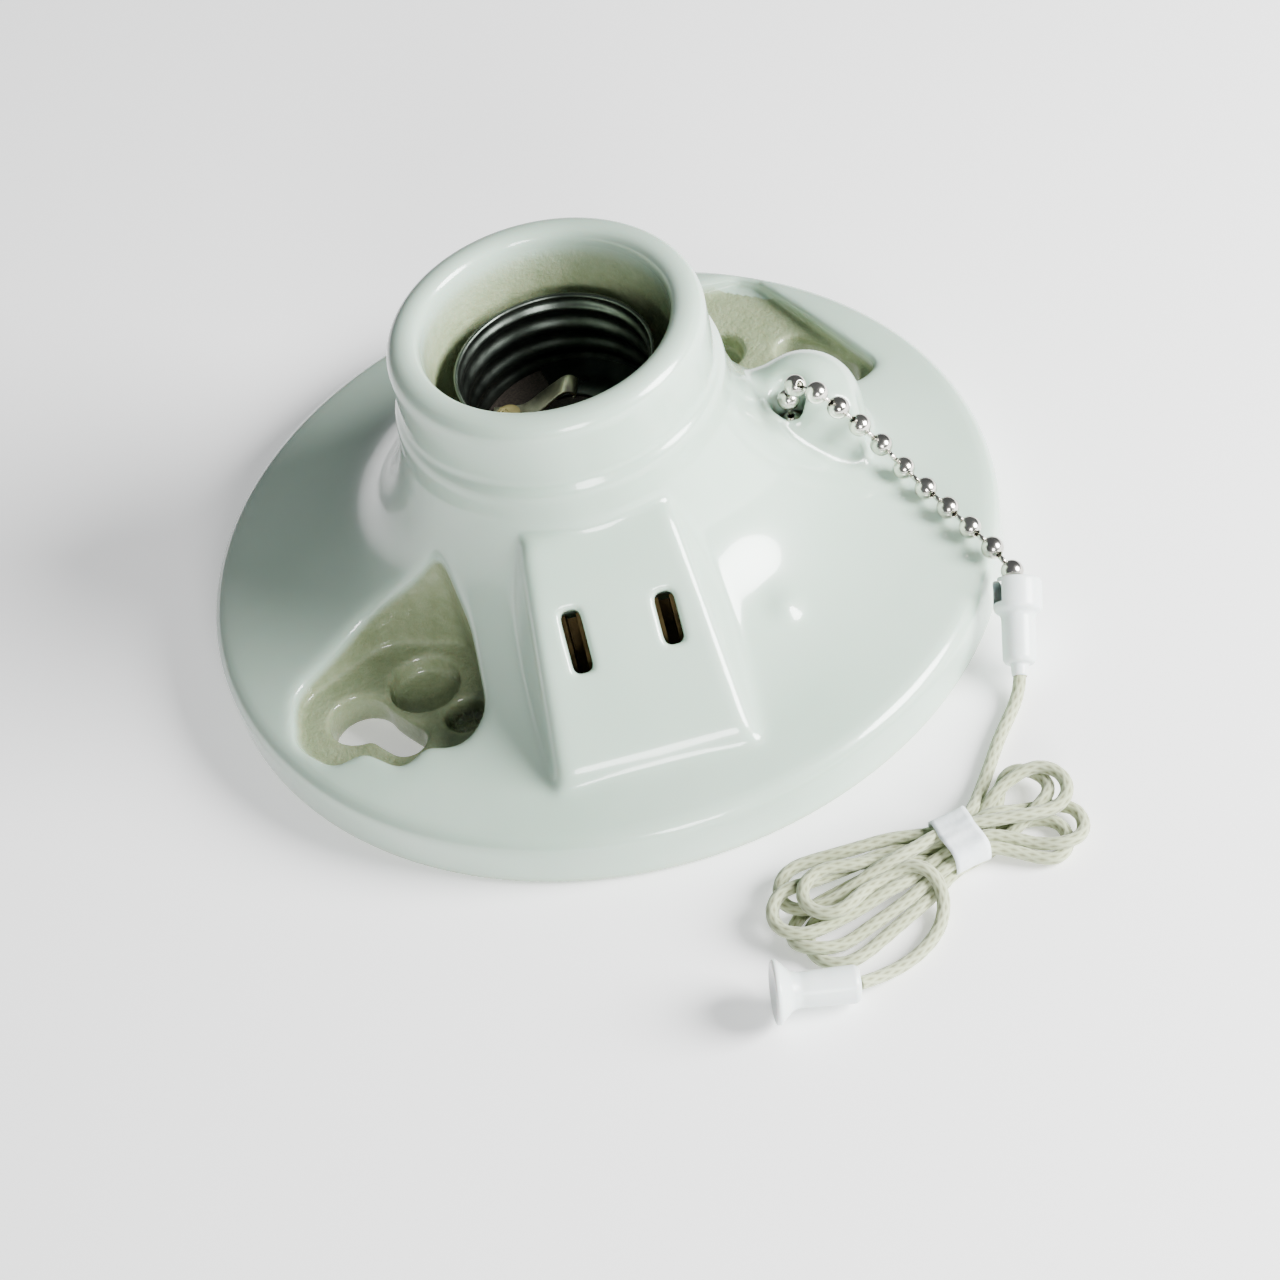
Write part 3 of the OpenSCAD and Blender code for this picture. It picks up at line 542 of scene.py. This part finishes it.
def gauss_mask(xyz, place, size):
    """1 at the place, falling off smoothly over the size."""
    return np.exp(-sum(((c - p) / d) ** 2 for c, p, d in zip(xyz, place, size)))


def glazed_shape():
    """The CAD body with its corners flooded by glaze: a distance field, smoothed more under thick glaze."""
    mesh = frame["nodes"]["porcelain_body"].data
    mesh.calc_loop_triangles()
    co = np.zeros(len(mesh.vertices) * 3, np.float32)
    mesh.vertices.foreach_get("co", co)
    tri = np.zeros(len(mesh.loop_triangles) * 3, np.int32)
    mesh.loop_triangles.foreach_get("vertices", tri)
    change = openvdb.createLinearTransform(voxelSize=VOXEL)
    points, tri = co.reshape(-1, 3) / MM, tri.reshape(-1, 3).astype(np.uint32)
    grid = openvdb.FloatGrid.createLevelSetFromPolygons(points, triangles=tri, transform=change, halfWidth=REACH)
    low, high = (np.array(c) for c in grid.evalActiveVoxelBoundingBox())
    low, high = low - 2, high + 2
    field = np.full(high - low + 1, REACH * VOXEL, np.float32)
    grid.copyToArray(field, ijk=tuple(int(i) for i in low))
    steps = [(np.arange(a, b + 1) * VOXEL).astype(np.float32) for a, b in zip(low, high)]
    x, y, z = xyz = np.meshgrid(*steps, indexing="ij", sparse=True)
    r = np.sqrt(x * x + y * y)
    soft, firm = blurred(field, SOFT), blurred(field, FIRM)
    # Thick glaze: the outside of the flare, wedge, boss and recess rims.
    # Thin glaze: the slots, chain hole, collar line and back.
    w = 1 / (1 + np.exp(9 - z)) * (1 / (1 + np.exp(-(r - 24.2) / 0.5)) + 0 * z)
    slots = np.maximum(*[gauss_mask(xyz, (side * SLOT_X, -34.1, 23.2), (3.6, 6.4, 6.4)) for side in (-1, 1)])
    hole = gauss_mask(xyz, (30.3, 1.2, 22), (3.2, 3.2, 6))
    w = w * np.clip(1 - 1.6 * slots, 0, 1) * np.clip(1 - 1.2 * hole, 0, 1)
    field = soft * w + firm * (1 - w)
    out = openvdb.FloatGrid(REACH * VOXEL)
    out.copyFromArray(np.ascontiguousarray(field.astype(np.float32)), ijk=tuple(int(i) for i in low))
    out.transform = change
    points, triangles, quads = out.convertToPolygons(isovalue=0.0, adaptivity=0.0)
    return np.array(points), [f for f in triangles.tolist()] + quads.tolist()


def step(x, a, b):
    t = np.clip((x - a) / (b - a), 0, 1)
    return t * t * (3 - 2 * t)


def porcelain():
    s = Shader("glazed_porcelain", Coat_Weight=0.75, Coat_Roughness=0.07, Subsurface_Weight=0.12,
               Subsurface_Scale=0.0015)
    tone = s.noise(35, 3)
    glaze = s.ramp(tone, [(0.3, (0.42, 0.56, 0.455)), (0.7, (0.48, 0.61, 0.51))])
    # Painted shade: concave creases, found by the mesh's pointiness, are darkened in the glaze colour.
    edge = s.node("ShaderNodeNewGeometry").outputs["Pointiness"]
    crease_shade = s.ramp(edge, [(0.40, (0.52, 0.60, 0.47)), (0.495, (1, 1, 1))])
    mixed = s.node("ShaderNodeMix", data_type="RGBA", blend_type="MULTIPLY")
    mixed.inputs[0].default_value = 0.7
    s.tree.links.new(glaze, mixed.inputs[6])
    s.tree.links.new(crease_shade, mixed.inputs[7])
    # Dark olive, the unglazed body's colour darkened into painted shade: it stands in for the dim walls of the
    # recesses and of the collar's bore.
    biscuit_and_shade = s.ramp(s.noise(420, 5, 0.65), [(0.3, (0.225, 0.275, 0.145)), (0.7, (0.31, 0.36, 0.215))])
    bare_and_shade = s.attribute("bare_and_shade")
    s.set("Base Color", s.mix(bare_and_shade, mixed.outputs[2], biscuit_and_shade))
    rough = s.math("MULTIPLY_ADD", bare_and_shade, 0.32)
    s.tree.nodes[-1].inputs[2].default_value = 0.24
    s.set("Roughness", rough)
    ripple = s.bump(s.noise(55, 2), 0.12, 0.002)
    grit = s.bump(s.math("MULTIPLY", s.noise(1500, 3, 0.6), bare_and_shade), 0.5, 0.0004, ripple)
    place = s.node("ShaderNodeSeparateXYZ", links={"Vector": s.node("ShaderNodeTexCoord").outputs["Object"]})
    rows = [s.math("SINE", s.math("MULTIPLY", place.outputs[k], 4800.0)) for k in (0, 1)]
    dots = s.math("MULTIPLY", s.math("MAXIMUM", rows[0], rows[1]), s.attribute("waffle"))
    s.set("Normal", s.bump(dots, 0.8, 0.0005, grit))
    return s.mat


def make_porcelain():
    verts, faces = glazed_shape()
    tris = np.array([f[:3] for f in faces])
    a, b, c = verts[tris[:, 0]], verts[tris[:, 1]], verts[tris[:, 2]]
    if np.einsum("ij,ij->i", a, np.cross(b, c)).sum() < 0:
        faces = [f[::-1] for f in faces]
    x, y, z = verts.T
    r = np.hypot(x, y)
    under = FLARE_LOW + FLARE_GAIN / np.maximum(r - FLARE_AXIS, 1) - z
    # The recess and the mouth's inner wall below the lip take the dark colour: partly unglazed porcelain, partly
    # painted shade. The back is the unglazed foot.
    recess = step(under, 0.9, 2.6) * (r < 53.5) * (z > 3.0) * (r > 24.5) * (z < 24)
    mouth = step(17.6 - r, 0.0, 0.8) * (1 - step(z, 45.5, 48.5))
    back = 1 - step(z, 0.6, 1.6)
    back = np.where(r > 55.5, back * 0.4, np.where(z < 3.6, 1.0, 0))
    bare_and_shade = np.clip(np.maximum(np.maximum(recess, mouth), back), 0, 1)
    ob = piece("porcelain_body_glazed", verts, faces, porcelain(), "housing", ["porcelain_body"])
    waffle = (np.hypot(x + 24, y + 26) < 2.9) * (1 - step(z, 3.8, 4.6)) * (z > 2)
    for name, value in (("bare_and_shade", bare_and_shade), ("waffle", waffle)):
        ob.data.attributes.new(name, "FLOAT", "POINT").data.foreach_set("value", value.astype(np.float32))


make_porcelain()

# ---------- bead chain ----------

CHAIN = [(30.3, 1.2, 4), (30.3, 1.2, 9), (30.3, 1.2, 14), (30.3, 1.2, 19), (30.3, 1.2, 22.5), (30.8, 0.2, 25.6),
         (31.9, -1.6, 27.9), (33.2, -3.7, 28.6), (34.6, -4.8, 27.6), (35.9, -4.6, 25.5), (36.9, -4.4, 23.8),
         (39.3, -4.8, 20), (41.7, -5.7, 16.1), (43.7, -7.7, 13.2), (45.6, -11.4, 12.3), (47.6, -15.5, 11.7),
         (49.7, -19.7, 11.1), (51.8, -24, 10.4), (53.5, -28, 9.6), (53.3, -32.2, 7)]
CHAIN_START, BEAD_PITCH, BEAD_R = 5.2, 4.7, 1.6
INNER, LINKS, OUTER = 2, 8, 6


def bead_points():
    line = spline(CHAIN)
    s = lengths(line)
    at = CHAIN_START + BEAD_PITCH * np.arange(INNER + LINKS + OUTER)
    return np.stack([np.interp(at, s, line[:, k]) for k in range(3)], axis=1)


def bead(p, along):
    """A hollow bead rolled from strip: a seam down one side and a dimpled hole at each end."""
    half = [(BEAD_R * math.cos(math.radians(a)), BEAD_R * math.sin(math.radians(a))) for a in range(0, 69, 6)]
    rim = [(0.6, 1.49), (0.52, 1.42), (0.5, 1.2)]
    upper = half + rim
    profile = [(r, -z) for r, z in upper[::-1]] + upper[1:]
    verts, faces = turned(profile, 32)
    a = np.arctan2(verts[:, 1], verts[:, 0])
    dent = 1 - 0.035 * np.exp(-((a / 0.09) ** 2)) * (np.abs(verts[:, 2]) < 1.35)
    verts[:, :2] *= dent[:, None]
    return verts @ axes_along(along).T + p, faces


def pin(a, b):
    """The wire between two beads; its ends run into the beads' holes."""
    l = np.linalg.norm(b - a)
    start, end = BEAD_R - 0.35, l - BEAD_R + 0.2
    return turned([(0, start), (0.36, start + 0.02), (0.36, end - 0.02), (0, end)], 16, a, b - a)


def make_chain():
    p = bead_points()
    along = [p[min(i + 1, len(p) - 1)] - p[max(i - 1, 0)] for i in range(len(p))]
    mat = metal("nickel_chain", (0.72, 0.7, 0.63), 0.17, 0.75, 600)
    links = {}
    for i in range(len(p)):
        body = "inner_chain" if i < INNER else f"link_{i - INNER + 1}" if i < INNER + LINKS else "pull"
        links.setdefault(body, []).append(bead(p[i], along[i]))
        if i < len(p) - 1:
            links[body].append(pin(p[i], p[i + 1]))
    for body, parts in links.items():
        node = {"inner_chain": "", "pull": "outer_chain"}.get(body, "chain_" + body)
        name = {"inner_chain": "beads_inner", "pull": "beads_outer"}.get(body, "beads_" + body)
        verts, faces = joined(parts)
        piece(name, verts, faces, mat, body, [node] if node else ())
    return mat


chain_metal = make_chain()


def make_stirrup():
    """Bail of bent strip that hangs on the chain's end and drives the lever's slot by its pin."""
    x, y, pin_z, top = 30.3, 1.2, 4.1, 6.7
    strip = round_over([(-1.1, pin_z - 0.5), (-1.1, top), (1.1, top), (1.1, pin_z - 0.5)], 0.5, 6)
    verts = []
    for k, (py, pz) in enumerate(strip):
        d = np.array(strip[min(k + 1, len(strip) - 1)]) - np.array(strip[max(k - 1, 0)])
        d = d / np.linalg.norm(d)
        n = np.array((-d[1], d[0]))
        for half, off in ((-0.75, -0.18), (0.75, -0.18), (0.75, 0.18), (-0.75, 0.18)):
            verts.append((x + half, y + py + n[0] * off, pz + n[1] * off))
    axle = turned([(0, -1.3), (0.55, -1.3), (0.55, 1.3), (0, 1.3)], 24, (x, y, pin_z), (0, 1, 0))
    wire = turned([(0, 0), (0.4, 0), (0.4, 1.6), (0, 1.6)], 16, (x, y, top), (0, 0, 1))
    verts, faces = joined([(verts, sleeve(len(strip), 4)), axle, wire])
    piece("stirrup", verts, faces, chain_metal, "inner_chain", ["inner_chain"], smooth=False)


make_stirrup()

# ---------- lamp socket ----------

SHELL_R, THREAD_DEPTH, PITCH = 13.3, 0.6, 3.629
SHELL_TOP, THREAD_TOP, SHELL_LOW = 42, 40.8, 30


def make_shell():
    """Screw shell of thin sheet with a real rolled helix, a curled top edge and a crescent floor."""
    n, rows = 144, 84
    verts, faces = [], []

    def wall(offset):
        first = len(verts)
        for i in range(rows + 1):
            z = SHELL_LOW + (SHELL_TOP - SHELL_LOW) * i / rows
            fade = step(np.array(THREAD_TOP + 0.6 - z), 0, 1.6) * step(np.array(z - SHELL_LOW), 0.4, 2.2)
            low = step(np.array(z - SHELL_LOW), 0, 2.0)
            for k in range(n):
                a = 2 * math.pi * k / n
                wave = 0.5 - 0.5 * math.cos(2 * math.pi * ((z - 39.3) / PITCH - a / (2 * math.pi)) + math.pi)
                r = SHELL_R - THREAD_DEPTH * wave * float(fade) - THREAD_DEPTH * (1 - float(low))
                if i >= rows - 1:
                    r += 0.12 * (i - rows + 2)
                verts.append(((r + offset) * math.cos(a), (r + offset) * math.sin(a), z))
        return first

    inner, outer = wall(0.0), wall(0.35)
    for i in range(rows):
        for k in range(n):
            j = (k + 1) % n
            a, b, c, d = i * n + k, i * n + j, (i + 1) * n + j, (i + 1) * n + k
            faces.append((inner + a, inner + d, inner + c, inner + b))
            faces.append((outer + a, outer + b, outer + c, outer + d))
    for i, flip in ((0, False), (rows, True)):
        for k in range(n):
            j = (k + 1) % n
            q = (inner + i * n + k, inner + i * n + j, outer + i * n + j, outer + i * n + k)
            faces.append(q[::-1] if flip else q)
    s = Shader("shell_metal", Metallic=1.0)
    s.set("Base Color", s.ramp(s.noise(160, 4), [(0.3, (0.04, 0.05, 0.042)), (0.65, (0.13, 0.15, 0.13))]))
    s.set("Roughness", s.math("MULTIPLY_ADD", s.noise(500, 4, 0.6, (1, 1, 3)), 0.25))
    s.tree.nodes[-1].inputs[2].default_value = 0.2
    s.set("Normal", s.bump(s.noise(800, 3), 0.12, 0.0002))
    floor_v, floor_f = crescent()
    verts, faces = joined([(verts, faces), (floor_v, floor_f)])
    piece("rolled_screw_shell", verts, faces, s.mat, "housing", ["screw_shell"])


def crescent():
    """Floor of the shell: a flat ring, open on the left for the centre contact."""
    edge = [(5.9, 30.0), (5.6, 30.12), (5.6, 30.38), (5.9, 30.5), (12.9, 30.5), (12.9, 30.0)]
    verts, angles = [], np.radians(np.linspace(-100, 100, 73))
    for a in angles:
        verts += [(r * math.cos(a), r * math.sin(a), z) for r, z in edge]
    return verts, sleeve(len(angles), len(edge))


make_shell()


def make_contact(mat):
    """Centre contact: a riveted tongue that rises over the axis to a rolled, hooked tip."""
    foot = [(-2.3, 0, 30.24), (0, 0, 30.24), (1.7, 0, 30.3), (3.1, 0, 31)]
    rise = [(5, 0, 32.5), (7.2, 0, 34.2), (8.6, 0, 35.2), (9.5, 0, 35.4), (10.2, 0, 34.9), (10.2, 0, 34.2)]
    line = spline(foot + rise, 6)
    t = np.gradient(line, axis=0)
    t /= np.linalg.norm(t, axis=1)[:, None]
    up = np.cross(t, np.array((0, 1, 0.0)))
    up *= np.sign(up[:, 2:3] + 1e-9)
    s = lengths(line) / lengths(line)[-1]
    under = [(e, -1) for e in (-1, -0.97, -0.5, 0, 0.5, 0.97, 1)]
    across = under + [(e, 1) for e, side in under[::-1]]
    verts = []
    for i, p in enumerate(line):
        w = 2.0 - 0.35 * step(s[i], 0.45, 0.9)
        for e, side in across:
            crown = 0.14 * (1 - e * e) * step(s[i], 0.25, 0.5)
            verts.append(p + np.array((0, e * w, 0)) + up[i] * (0.22 * side + crown))
    verts = spun(verts, -14) + (-8, 4.4, 0)
    faces = sleeve(len(line), len(across))
    piece("contact_tongue", verts, faces, mat, "housing", ["centre_contact"])


def make_spring(mat):
    """Return spring: three turns of wire round the pivot."""
    x, y, z = 19.8, -4.5, 7.6
    coil_r, wire_r, width, sides = 2.0, 0.22, 1.5, 10
    angles = np.linspace(0, 6 * math.pi, 60)
    across = width * angles / angles[-1]
    turns = np.stack([x + coil_r * np.cos(angles), y + across, z + coil_r * np.sin(angles)], axis=1)
    line = spaced(turns, 0.35)
    t, u, v = moving_frames(line)
    verts = []
    for i, p in enumerate(line):
        for a in np.linspace(0, 2 * math.pi, sides, endpoint=False):
            verts.append(p + wire_r * (math.cos(a) * u[i] + math.sin(a) * v[i]))
    piece("coil_spring", verts, sleeve(len(line), sides), mat, "housing", ["return_spring"])


BRASS = metal("brass_strip", (0.80, 0.62, 0.30), 0.3, 0.7)
# Near-black brass for the outlet contacts: painted shade of the deep slots, so that only their gloss shows.
SHADED_BRASS = metal("shaded_brass", (0.1, 0.07, 0.03), 0.4, 0.2)
STEEL = metal("zinc_steel", (0.58, 0.59, 0.6), 0.34, 0.8)
TINNED = metal("tinned_brass", (0.68, 0.68, 0.64), 0.36, 0.8)
FIBRE = fibre("vulcanised_fibre", (0.07, 0.055, 0.045))
PHENOLIC = plastic("phenolic", (0.16, 0.07, 0.035), 0.42, 0.2)
make_contact(metal("contact_metal", (0.66, 0.62, 0.47), 0.32, 0.7))
make_spring(STEEL)

# ---------- CAD pieces that keep their shape and get their finish ----------

FINISH = {"brass": BRASS, "steel": STEEL, "plated_brass": TINNED, "fibre": FIBRE, "drum": PHENOLIC,
          "white_plastic": WHITE, "chain": chain_metal}
slots = {p["node"]: p["material_slot"] for p in frame["record"]["subparts"]}
for name, node in frame["nodes"].items():
    # The outlet contacts take the near-black brass: painted shade of their slots.
    finish = SHADED_BRASS if name.startswith("outlet_contact") else FINISH.get(slots[name])
    if finish:
        node.data.materials.clear()
        node.data.materials.append(finish)

# ---------- floor and light ----------


def make_floor():
    half_m, below_m = 3, -0.0002
    corners = [(half_m * x, half_m * y, below_m) for x, y in ((-1, -1), (1, -1), (1, 1), (-1, 1))]
    mesh = bpy.data.meshes.new("floor")
    mesh.from_pydata(corners, [], [(0, 1, 2, 3)])
    s = Shader("pale_floor", Roughness=0.9)
    s.bsdf.inputs["Base Color"].default_value = (0.95, 0.95, 0.95, 1)
    s.bsdf.inputs["Emission Color"].default_value = (1, 1, 1, 1)
    s.bsdf.inputs["Emission Strength"].default_value = 0.5
    mesh.materials.append(s.mat)
    ob = bpy.data.objects.new("floor", mesh)
    bpy.context.scene.collection.objects.link(ob)


def area_light(name, place, size, watts, colour=(1, 1, 1)):
    data = bpy.data.lights.new(name, "AREA")
    data.shape, data.size, data.energy, data.color = "DISK", size, watts, colour
    ob = bpy.data.objects.new(name, data)
    ob.location = place
    ob.rotation_mode = "QUATERNION"
    ob.rotation_quaternion = Vector(place).to_track_quat("Z", "Y")
    bpy.context.scene.collection.objects.link(ob)


make_floor()
area_light("key", (0.54, -0.22, 0.31), 0.36, 19)
area_light("front", (0.05, -0.9, 0.4), 0.3, 7)
world = bpy.data.worlds.new("studio")
world.use_nodes = True
world.node_tree.nodes["Background"].inputs["Color"].default_value = (0.9, 0.95, 1, 1)
world.node_tree.nodes["Background"].inputs["Strength"].default_value = 0.16
bpy.context.scene.world = world
